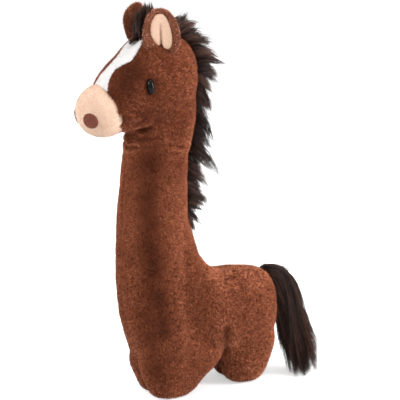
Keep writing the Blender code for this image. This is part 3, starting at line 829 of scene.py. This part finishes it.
def make_eye(side, name):
    spot, normal, _, _ = horse_tree.ray_cast(eye_middle, across * side)
    turned = Matrix((*face_axes(normal), normal)).transposed()
    turned @= Matrix.Rotation(math.radians(6) * side, 3, "Z")
    bm = ball(48, 28)
    for vert in bm.verts:
        x, y, z = vert.co
        rise = z * (eye_dome if z > 0 else eye_foot)
        flat = Vector((eye_half_width * x, eye_half_height * y, rise))
        vert.co = spot + turned @ flat + normal * 0.0008
    face_outward(bm)
    eye = object_of(name + "_eye_dome", bm, eye_gloss)
    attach(eye, "horse")
    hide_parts(name + "_eye")


for side, name in side_names.items():
    make_eye(side, name)


head_foot, chest_top, chest_back, beyond = 0.43, 0.22, -0.01, 1.0

# The skin's parts, each between two heights and between two places from front to back
bands = {
    "neck": (chest_top, head_foot, -beyond, beyond),
    "chest": (-beyond, chest_top, -beyond, chest_back),
    "rump": (-beyond, chest_top, chest_back, beyond),
}


def in_band(side, low, high, front, back, points):
    """Which points lie in a part of the skin, on one side of the toy."""
    x, y, z = points.T
    return ((x > 0) == (side > 0)) & (z > low) & (z <= high) & (y >= front) & (y < back)


regions = {"head_pile": lambda p: (p[:, 2] > head_foot) & ~in_blaze(p) & outside_muzzle(p)}
for part, band in bands.items():
    for side, name in side_names.items():
        regions[f"{part}_{name}_pile"] = partial(in_band, side, *band)
for order, (name, keep) in enumerate(regions.items()):
    nap = nap_head if name == "head_pile" else nap_down
    pile_on(
        name, horse_plush.data, 0.0036, 0.00055, nap, brown, pile_brown, 10 + order,
        keep, shade=brown_shade,
    )
pile_on(
    "muzzle_pile", muzzle_plush.data, 0.0022, 0.0005, nap_muzzle, peach, pile_pale,
    40, clear_of_nostrils, spread=0.45, rough=0.34, shade=muzzle_shade,
)
pile_on(
    "blaze_pile", blaze_plush.data, 0.0026, 0.0005, nap_muzzle, white, pile_pale,
    41, lambda p: in_blaze(p, -0.0001) & outside_muzzle(p), spread=0.35, rough=0.25,
)


# Ears: stuffed leaves with a tucked lining in their hollow face

ear_height, ear_half_width, ear_foot, ear_cup = 0.05, 0.0275, -0.02, 0.0085
ear_tilt = (math.radians(24), math.radians(18), math.radians(4))
ear_hinges = {1: Vector((0.03535, -0.07826, 0.56159)), -1: Vector((-0.03535, -0.07826, 0.56159))}
lining_half_width, lining_top = 0.0165, 0.0425
ear_shares = {1: (1.0, 1.0, 0.96, 0.87, 0.78), -1: (0.5, 0.7, 0.86, 0.94, 0.84)}
lining_shares = (1.0, 1.0, 0.93, 0.8, 0.68)
ear_brown, lining_peach = np.array((0.3, 0.106, 0.06)), peach * (1.04, 0.78, 0.6)


def lining_foot(wide):
    """The lining ends higher on the inner side of the ear, where the brown pile folds over it."""
    return -0.0065 + 0.0095 * np.clip(wide, -1.0, 1.0)


def ear_frame(side):
    """From the ear's own axes (X across, Y out of its hollow face, Z up) to the toy's."""
    turn, slope, splay = ear_tilt
    level = math.cos(slope)
    hinge_x = Vector((
        -math.sin(turn) * level, -side * math.cos(turn) * level, side * math.sin(slope),
    ))
    hinge_y = Vector((side * math.cos(turn), -math.sin(turn), 0.0))
    axes = Matrix((hinge_x, hinge_y, hinge_x.cross(hinge_y))).transposed().to_4x4()
    stand = Matrix.Rotation(side * slope, 4, "Y") @ Matrix.Rotation(-splay, 4, "X")
    return Matrix.Translation(ear_hinges[side]) @ axes @ stand


def tuck(x, z):
    """How deep the tuck down the middle of the ear is."""
    low = min(max((0.03 - z) / 0.014, 0.0), 1.0)
    return 0.0048 * math.exp(-((x / 0.0026) ** 2)) * low


def ear_leaf(side, half_width, height, thickness, lift, shares, is_lining):
    """A stuffed leaf in the ear's shape, or its lining, with the tuck pressed in."""
    bm = ball(56, 36)
    for vert in bm.verts:
        place = (1 + rounded(vert.co.z, 2.5)) / 2
        reach = math.hypot(vert.co.x, vert.co.y) ** (2 / 2.5)
        turn = math.atan2(vert.co.y, vert.co.x)
        wide = math.cos(turn) * reach
        x = half_width * wide * share_at(shares, place)
        foot = lining_foot(wide) if is_lining else ear_foot
        z = foot + (height - foot) * place
        share = half_width / ear_half_width
        y = thickness / 2 * math.sin(turn) * reach + ear_cup * (wide * share) ** 2 + lift
        if math.sin(turn) > 0 or is_lining:
            y -= tuck(x, z)
        x += side * 0.0022 * max(place, 0.0) ** 2
        vert.co = Vector((x, y, z))
    bmesh.ops.transform(bm, matrix=ear_frame(side), verts=bm.verts)
    face_outward(bm)
    return bm


def make_ear(side, name):
    body = name + "_ear"
    leaf = object_of(
        body + "_plush",
        ear_leaf(side, ear_half_width, ear_height, 0.0075, 0.0, ear_shares[side], False),
        cloth_brown,
    )
    lining = object_of(
        body + "_lining_plush",
        ear_leaf(side, lining_half_width, lining_top, 0.004, 0.003, lining_shares, True),
        cloth_peach,
    )
    to_ear = np.array(ear_frame(side).inverted())
    nap_up = ear_frame(side).col[2][:3]

    def in_ear(points):
        """The points on the ear's own axes, and how deep the tuck is at each."""
        x, y, z = (points @ to_ear[:3, :3].T + to_ear[:3, 3]).T
        return x, y, z, np.array([tuck(a, b) for a, b in zip(x, z)])

    def brown_part(points):
        x, y, z, _ = in_ear(points)
        foot = lining_foot(x / lining_half_width)
        middle, tall = (lining_top + foot) / 2, (lining_top - foot) / 2
        place = np.clip((z - foot) / (lining_top - foot), 0.0, 1.0)
        half = lining_half_width * np.interp(place, np.linspace(0, 1, 5), lining_shares)
        inside = (np.abs(x / half) ** 2.5 + np.abs((z - middle) / tall) ** 2.5) < 0.96
        return ~(inside & (y > ear_cup * (x / ear_half_width) ** 2))

    def lining_front(points):
        x, y, z, depth = in_ear(points)
        return y > 0.0022 + ear_cup * (x / ear_half_width) ** 2 - depth

    def lining_shade(spots, normals):
        x, y, z, depth = in_ear(spots)
        warm = 0.13 / (1.0 + np.exp(-x * side * 900.0))
        # Painted shade in the tuck down the middle, one half a little darker, and a random mottle
        return 1.36 - np.clip(depth * 120.0, 0.0, 0.55) - warm + 0.2 * mottle(spots, 80.0)

    def back_shade(spots, normals):
        """Painted shade on the ear's back, and painted light on the rim round the lining, less on
        the far ear.
        """
        # The near ear's rim is painted lighter than the far ear's, which stands in shade
        front = 1.85 if side > 0 else 1.1
        return np.where(in_ear(spots)[1] < 0.0, 0.34, front) * (1.0 + 0.5 * mottle(spots, 90.0))

    pile_on(
        body + "_pile", leaf.data, 0.0036, 0.0005, nap_up, ear_brown, pile_brown,
        60 + side, brown_part, spread=0.5, nap_share=0.45, shade=back_shade, body=body,
    )
    pile_on(
        body + "_lining_pile", lining.data, 0.0014, 0.00045, nap_up, lining_peach,
        pile_pale, 70 + side, lining_front, spread=0.3, shade=lining_shade, body=body, rough=0.2,
        closeness=0.8,
    )
    for piece, node, slot in ((leaf, "_back", "plush_brown"), (lining, "_lining", "plush_peach")):
        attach(piece, body)
        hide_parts(body + node)


for side, name in side_names.items():
    make_ear(side, name)


# Tail root

tail_pivot = np.array([0.0, 0.12335, 0.1751])
root_bm = ball(32, 20, 0.0056)
bmesh.ops.translate(root_bm, verts=root_bm.verts, vec=Vector(tail_pivot))
face_outward(root_bm)
tail_root_plush = object_of("tail_root_plush", root_bm, cloth_brown)
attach(tail_root_plush, "tail_root")
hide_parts("tail_root")
pile_on(
    "tail_root_pile", tail_root_plush.data, 0.0016, 0.0005, nap_down, brown * 0.5,
    pile_brown, 80, body="tail_root",
)


# Long hair

hair_shape, tail_shape = small_shape(3, 5), small_shape(3, 7)


def strand_profile(place):
    """How thick a hair is along its length, from foot to tip."""
    return np.clip(1.0 - place**4.5, 0.0, 1.0) * (0.75 + 0.25 * np.sin(np.pi * place))


def strands(name, shape, line_points, thickness, tints, body):
    """Hairs along smooth lines. line_points is a function of place that gives a row per hair."""
    corners, faces = shape
    places = np.clip(corners[:, 2], 0.0, 1.0)
    step = 0.02
    centre = np.stack([line_points(place) for place in places], 1)
    ahead = np.stack([line_points(min(place + step, 1.0)) for place in places], 1)
    behind = np.stack([line_points(max(place - step, 0.0)) for place in places], 1)
    run = unit_rows(ahead - behind)
    one = unit_rows(np.cross(run, np.array([0.31, 0.42, 0.85])))
    two = np.cross(run, one)
    ring = np.hypot(corners[:, 0], corners[:, 1])[:, None]
    flat = np.divide(corners[:, :2], ring, out=np.zeros((len(corners), 2)), where=ring > 1e-6)
    width = thickness[:, None] * strand_profile(places)[None, :]
    points = centre + one * (flat[:, 0] * width)[..., None] + two * (flat[:, 1] * width)[..., None]
    points[..., 2] = np.maximum(points[..., 2], 0.0006)
    # Each hair is painted darker toward its root and lighter toward its tip: painted shade and
    # painted light along the locks
    shades = tints[:, None, :] * (0.8 + 0.45 * places)[None, :, None]
    obj = copies_mesh(name, points, faces, shades, None, hair_gloss)
    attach(obj, body)
    return obj


def hair_tints(tone, painted_highlight, highlight_from):
    """Dark hair of each tone; the lighter hairs get a brown painted highlight."""
    return dark_hair[None] * tone[:, None] + np.array(painted_highlight) * (tone[:, None] > highlight_from)


def quadratic(one, two, three):
    return lambda place: (
        one * (1 - place) ** 2 + two * 2 * place * (1 - place) + three * place**2
    )


# How far the hairs' feet go into the skin, and half the width of the mane at its roots and tips
hair_sink, mane_root_width, mane_tip_width = 0.0005, 0.0105, 0.017

# Lock tips and the places they grow from, in the middle plane, from the poll down the neck
lock_tips = (
    (-0.033, 0.602), (-0.0182, 0.5934), (-0.0017, 0.5841), (0.0057, 0.5741), (0.0202, 0.5562),
    (0.0324, 0.534), (0.042, 0.515), (0.0521, 0.4931), (0.0305, 0.4695), (0.0197, 0.4519),
    (0.0278, 0.4172), (0.0238, 0.3941), (0.0145, 0.3824), (0.028, 0.3489), (0.02, 0.332),
    (0.0146, 0.3135), (0.0189, 0.2977), (0.0092, 0.2884), (0.0004, 0.2671), (-0.005, 0.2565),
)
lock_roots = (
    (-0.05, 0.581), (-0.0351, 0.5751), (-0.0233, 0.5668), (-0.0149, 0.5557), (-0.0081, 0.5401),
    (-0.0029, 0.526), (0.001, 0.513), (0.0022, 0.5028), (0.0005, 0.4815), (-0.0065, 0.46),
    (-0.01, 0.4377), (-0.0135, 0.4148), (-0.0142, 0.4024), (-0.0153, 0.3676), (-0.016, 0.3476),
    (-0.0172, 0.33), (-0.0172, 0.312), (-0.0165, 0.3), (-0.0145, 0.285), (-0.0129, 0.2721),
)


def between_rows(rows, spot):
    """Rows read off at places between whole numbers."""
    steps = np.arange(len(rows))
    return np.stack([np.interp(spot, steps, column) for column in np.array(rows).T], 1)


def make_mane(name, first, last, count, seed):
    """Locks along a stretch of the top line, long ones over an undercoat of shorter hair."""
    random = np.random.default_rng(seed)
    amount = int((last - first) * 7)
    lock_spot = np.linspace(first, last, amount) + random.normal(0, 0.05, amount)
    lock_side = random.uniform(-1, 1, amount)
    between = (1.0 - np.cos(2 * np.pi * lock_spot)) / 2
    lock_reach = 1.02 - (0.46 * between + 0.14) * random.random(amount)
    lock_reach *= np.clip(0.84 + 0.16 * lock_spot, 0.84, 1.0)
    lock_stray = random.normal(0, 1, (amount, 3)) * (0.005, 0.0034, 0.0046) - (0, 0, 0.002)
    lock_tone = random.normal(1.05, 0.36, amount).clip(0.4, 2.2)
    lock = random.integers(0, amount, count)
    under = random.random(count) < 0.26

    # The hair hangs, so it grows from a little above the place that its tip points back to
    fall = np.where(under, 0.0, 0.9) * np.clip(lock_spot[lock] / 2.0, 0.0, 1.0)
    spot = lock_spot[lock] - fall + random.normal(0, 0.24, count)
    spot = np.clip(spot, 0.0, len(lock_roots) - 1.0)
    side = np.clip(0.6 * lock_side[lock] + random.normal(0, 0.34, count), -1, 1)
    root_rows = between_rows(lock_roots, spot)
    roots = np.column_stack([side * mane_root_width, root_rows])
    for i in range(count):
        hit = horse_tree.find_nearest(Vector(roots[i]))
        roots[i] = hit[0] - hit[1] * hair_sink

    # The tips gather towards the long locks, which leaves gaps between them
    gathered = lock_spot + 0.5 * (np.round(lock_spot) - lock_spot)
    tip_rows = between_rows(lock_tips, np.where(under, spot, gathered[lock]))
    tips = np.column_stack([lock_side[lock] * mane_tip_width, tip_rows]) + lock_stray[lock]
    loose = np.where(random.random(count) < 0.08, 0.006, 0.0017)
    tips += random.normal(0, 1, (count, 3)) * np.where(under, 0.0048, loose)[:, None]
    under_reach = random.uniform(0.3, 0.7, count)
    over_reach = lock_reach[lock] * random.uniform(0.7, 1.05, count)
    tips = roots + (tips - roots) * np.where(under, under_reach, over_reach)[:, None]
    out = unit_rows(np.column_stack([
        side * 0.35, roots[:, 1] + 0.07, (roots[:, 2] - 0.5).clip(0, 1),
    ]))
    length = np.linalg.norm(tips - roots, axis=1, keepdims=True)
    upper = np.clip((roots[:, 2:] - 0.46) / 0.08, 0.0, 1.0)
    bend = roots + out * length * 0.48 + np.array(upward) * length * (0.04 + 0.2 * upper)
    tone = lock_tone[lock] * random.normal(1.0, 0.34, count).clip(0.3, 2.2)
    tone *= np.where(under, 0.6, 1.0)
    # The lighter hairs get a brown painted highlight
    locks = strands(
        name, hair_shape, quadratic(roots, bend, tips), random.uniform(0.0003, 0.0006, count),
        hair_tints(tone, (0.05, 0.027, 0.021), 1.1), "horse",
    )
    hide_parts("mane_hair")


hair_share = 1.0
make_mane("mane_upper_locks", 0.0, 9.5, int(5600 * hair_share), 77)
make_mane("mane_lower_locks", 8.8, len(lock_roots) - 1, int(5000 * hair_share), 76)


def make_forelock():
    """A tuft between the ears. It stands up and leans to both sides, with a wisp to the front."""
    random = np.random.default_rng(78)
    count, amount = int(2600 * hair_share), 34
    lock_side, lock_back = random.uniform(-1, 1, amount), random.uniform(0, 1, amount)
    lock_tone = random.normal(1.0, 0.34, amount).clip(0.4, 2.0)
    lock_high = random.uniform(0.5, 1.0, amount)
    lock = random.integers(0, amount, count)
    falls = lock_back[lock] < 0.1
    side = np.clip(lock_side[lock] + random.normal(0, 0.3, count), -1, 1)
    place = np.clip(lock_back[lock] + random.normal(0, 0.18, count), 0, 1)
    roots = np.stack([side * 0.0125, -0.1 + 0.046 * place, np.full(count, 0.62)], 1)
    for i in range(count):
        hit = horse_tree.ray_cast(Vector(roots[i]), -upward)
        roots[i] = hit[0] - upward * hair_sink
    rise = lock_high[lock] * random.uniform(0.8, 1.05, count)
    standing = np.stack([
        lock_side[lock] * 0.019, -0.11 + 0.048 * lock_back[lock], roots[:, 2] + 0.047 * rise,
    ], 1)
    fallen = np.stack([
        lock_side[lock] * 0.012, -0.112 - 0.004 * rise, roots[:, 2] - 0.002 - 0.006 * rise,
    ], 1)
    tips = np.where(falls[:, None], fallen, standing) + random.normal(0, 0.0017, (count, 3))
    lift = np.where(falls, 0.016 * rise, 0.006)
    bend = (roots + tips) / 2 + np.stack([side * 0.004, np.full(count, -0.004), lift], 1)
    tone = lock_tone[lock] * random.normal(1.0, 0.25, count).clip(0.4, 2.0)
    locks = strands(
        "forelock_locks", hair_shape, quadratic(roots, bend, tips),
        random.uniform(0.00028, 0.0005, count), dark_hair[None] * tone[:, None], "horse",
    )
    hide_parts("forelock_hair")


make_forelock()


# The bundle of the tail's hair: its half width at places from root to tip
bundle_places = (0.0, 0.05, 0.12, 0.25, 0.45, 0.65, 0.85, 1.0)
bundle_widths = (0.0074, 0.0086, 0.0116, 0.0166, 0.019, 0.0184, 0.017, 0.0158)
floor_gap = 0.012


def make_tail(name, count, seed, low_start):
    """Hair that springs back from the root, bows over and falls to the left, in locks."""
    random = np.random.default_rng(seed)
    line = np.array([
        (0.0, -0.006, 0.000), (0.004, 0.032, 0.001), (0.01, 0.05, -0.05), (0.049, 0.013, -0.2),
    ]) + tail_pivot
    amount = 46
    lock_shift = random.normal(0, 1, (amount, 2))
    lock_shift *= random.random(amount)[:, None] ** 0.5 / np.linalg.norm(
        lock_shift, axis=1, keepdims=True)
    lock_end = 1.03 - 0.2 * random.random(amount) ** 1.6
    lock_end -= 0.3 * np.clip(-lock_shift[:, 1], 0.0, 1.0) * random.random(amount)
    lock_tone = random.normal(1.0, 0.34, amount).clip(0.35, 2.1)
    lock_bend = random.normal(0, 1, (amount, 3)) * (0.002, 0.004, 0.002)
    lock = random.integers(0, amount, count)
    flick = 0.01 + 0.025 * random.random(amount)[lock]
    scatter = random.normal(0, 0.21, (count, 2))
    stray = random.random(count) < 0.05
    end = lock_end[lock] * random.uniform(0.86, 1.01, count)
    end[stray] *= random.uniform(0.12, 0.34, stray.sum())
    start = random.beta(1.0, 2.5, count) * (0.42 if low_start else 0.03)
    start[stray] = 0.0
    flick[stray] = 0.003
    shift_end = lock_shift[lock] + scatter * 0.25
    wander = lock_bend[lock] + random.normal(0, 0.0012, (count, 3)) + np.stack([
        shift_end[:, 0] * 0.002, shift_end[:, 1] * 0.01 + 0.003, np.zeros(count)], 1)

    def along(place):
        spot = (start + (end - start) * place)[:, None]
        centre = (
            line[0] * (1 - spot) ** 3 + line[1] * 3 * spot * (1 - spot) ** 2
            + line[2] * 3 * spot**2 * (1 - spot) + line[3] * spot**3
        )
        swell = np.interp(spot[:, 0], bundle_places, bundle_widths)
        rise = min(1.0, 0.35 + place * 2.2) if low_start else 1.0
        hang = np.clip(spot / 0.3, 0.0, 1.0)
        wide = np.array([0.93, 0.0, 0.36])
        deep = hang * np.array([-0.1, 0.99, 0.0]) + (1.0 - hang) * np.array([0.0, 0.3, 0.75])
        shift = lock_shift[lock] + scatter * (1.0 - 0.93 * place**1.5)
        offset = shift[:, :1] * wide * 0.85 + shift[:, 1:] * deep
        flare = (flick * place**5)[:, None] * np.array([0.15, 1.0, 0.10])
        points = centre + offset * (swell * rise)[:, None] + wander * place**2 + flare
        low = points[:, 2] < floor_gap
        points[low, 2] = floor_gap * np.exp((points[low, 2] - floor_gap) / floor_gap)
        return points

    tone = lock_tone[lock] * random.normal(1.0, 0.5, count).clip(0.3, 2.4)
    # The lighter hairs get a brown painted highlight
    locks = strands(
        name, tail_shape, along, random.uniform(0.00035, 0.0007, count),
        hair_tints(tone, (0.04, 0.019, 0.014), 1.5), "tail",
    )
    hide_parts("tail_hair")


make_tail("tail_outer_locks", int(4100 * hair_share), 79, False)
make_tail("tail_inner_locks", int(4100 * hair_share), 80, True)


# Camera, light and floor


def aim_at(obj, place, target):
    back = (Vector(place) - Vector(target)).normalized()
    right = upward.cross(back).normalized()
    up = back.cross(right)
    turn = Matrix((right, up, back)).transposed().to_4x4()
    obj.matrix_world = Matrix.Translation(Vector(place)) @ turn


# The photograph's view, in which one pixel of its 400 is 1.55 mm at the toy
camera_turn, camera_rise, camera_far = math.radians(29), math.radians(15), 2.2
sensor_width, photo_width, pixel_size = 36.0, 400, 0.00155
view_centre = mid(0.00569, 0.305)
view_back = Vector((
    math.cos(camera_turn) * math.cos(camera_rise),
    -math.sin(camera_turn) * math.cos(camera_rise),
    math.sin(camera_rise),
))
camera = add_object("camera", bpy.data.cameras.new("camera"))
camera.data.sensor_width = sensor_width
camera.data.lens = sensor_width * camera_far / (photo_width * pixel_size)
camera.data.clip_end = 50.0
aim_at(camera, view_centre + view_back * camera_far, view_centre)
bpy.context.scene.camera = camera


def softbox(name, place, size, power):
    light = bpy.data.lights.new(name, "AREA")
    light.shape = "RECTANGLE"
    light.size, light.size_y = size
    light.energy = power
    aim_at(add_object(name, light), place, (0.0, 0.0, 0.3))


softbox("light_front", (0.2, -2.4, 1.5), (1.2, 1.2), 50.0)
softbox("light_side", (1.7, 1.9, 1.0), (0.6, 1.8), 77.0)
softbox("light_top", (0.3, 0.6, 2.6), (1.6, 1.6), 38.0)


def seen_level(tree, unseen, seen):
    """A strength that is higher where the camera, a mirror or glass shows the surface."""
    nodes, links = tree.nodes, tree.links
    rays = nodes.new("ShaderNodeLightPath").outputs
    shown = rays["Is Camera Ray"]
    for ray in ("Is Glossy Ray", "Is Transmission Ray"):
        either = nodes.new("ShaderNodeMath")
        either.operation = "MAXIMUM"
        links.new(shown, either.inputs[0])
        links.new(rays[ray], either.inputs[1])
        shown = either.outputs[0]
    level = nodes.new("ShaderNodeMapRange")
    set_inputs(level, To_Min=unseen, To_Max=seen)
    links.new(shown, level.inputs["Value"])
    return level.outputs["Result"]


floor_bm = bmesh.new()
bmesh.ops.create_grid(floor_bm, x_segments=1, y_segments=1, size=12.0)
floor_paint = new_material(
    "floor_paint", 0.9, Specular_IOR_Level=0.0, Base_Color=(0.9, 0.9, 0.9, 1),
    Emission_Color=(1, 1, 1, 1),
)
floor_seen = seen_level(floor_paint.node_tree, 0.0, 0.5)
join(floor_paint, floor_seen, shader_of(floor_paint).inputs["Emission Strength"])
floor = object_of("floor", floor_bm, floor_paint)

world = bpy.data.worlds.new("studio")
bpy.context.scene.world = world
world.use_nodes = True
sky = world.node_tree.nodes["Background"]
set_inputs(sky, Color=(1, 1, 1, 1))
world.node_tree.links.new(seen_level(world.node_tree, 0.55, 1.0), sky.inputs["Strength"])

bpy.context.scene.view_settings.view_transform = "Standard"
bpy.context.view_layer.update()
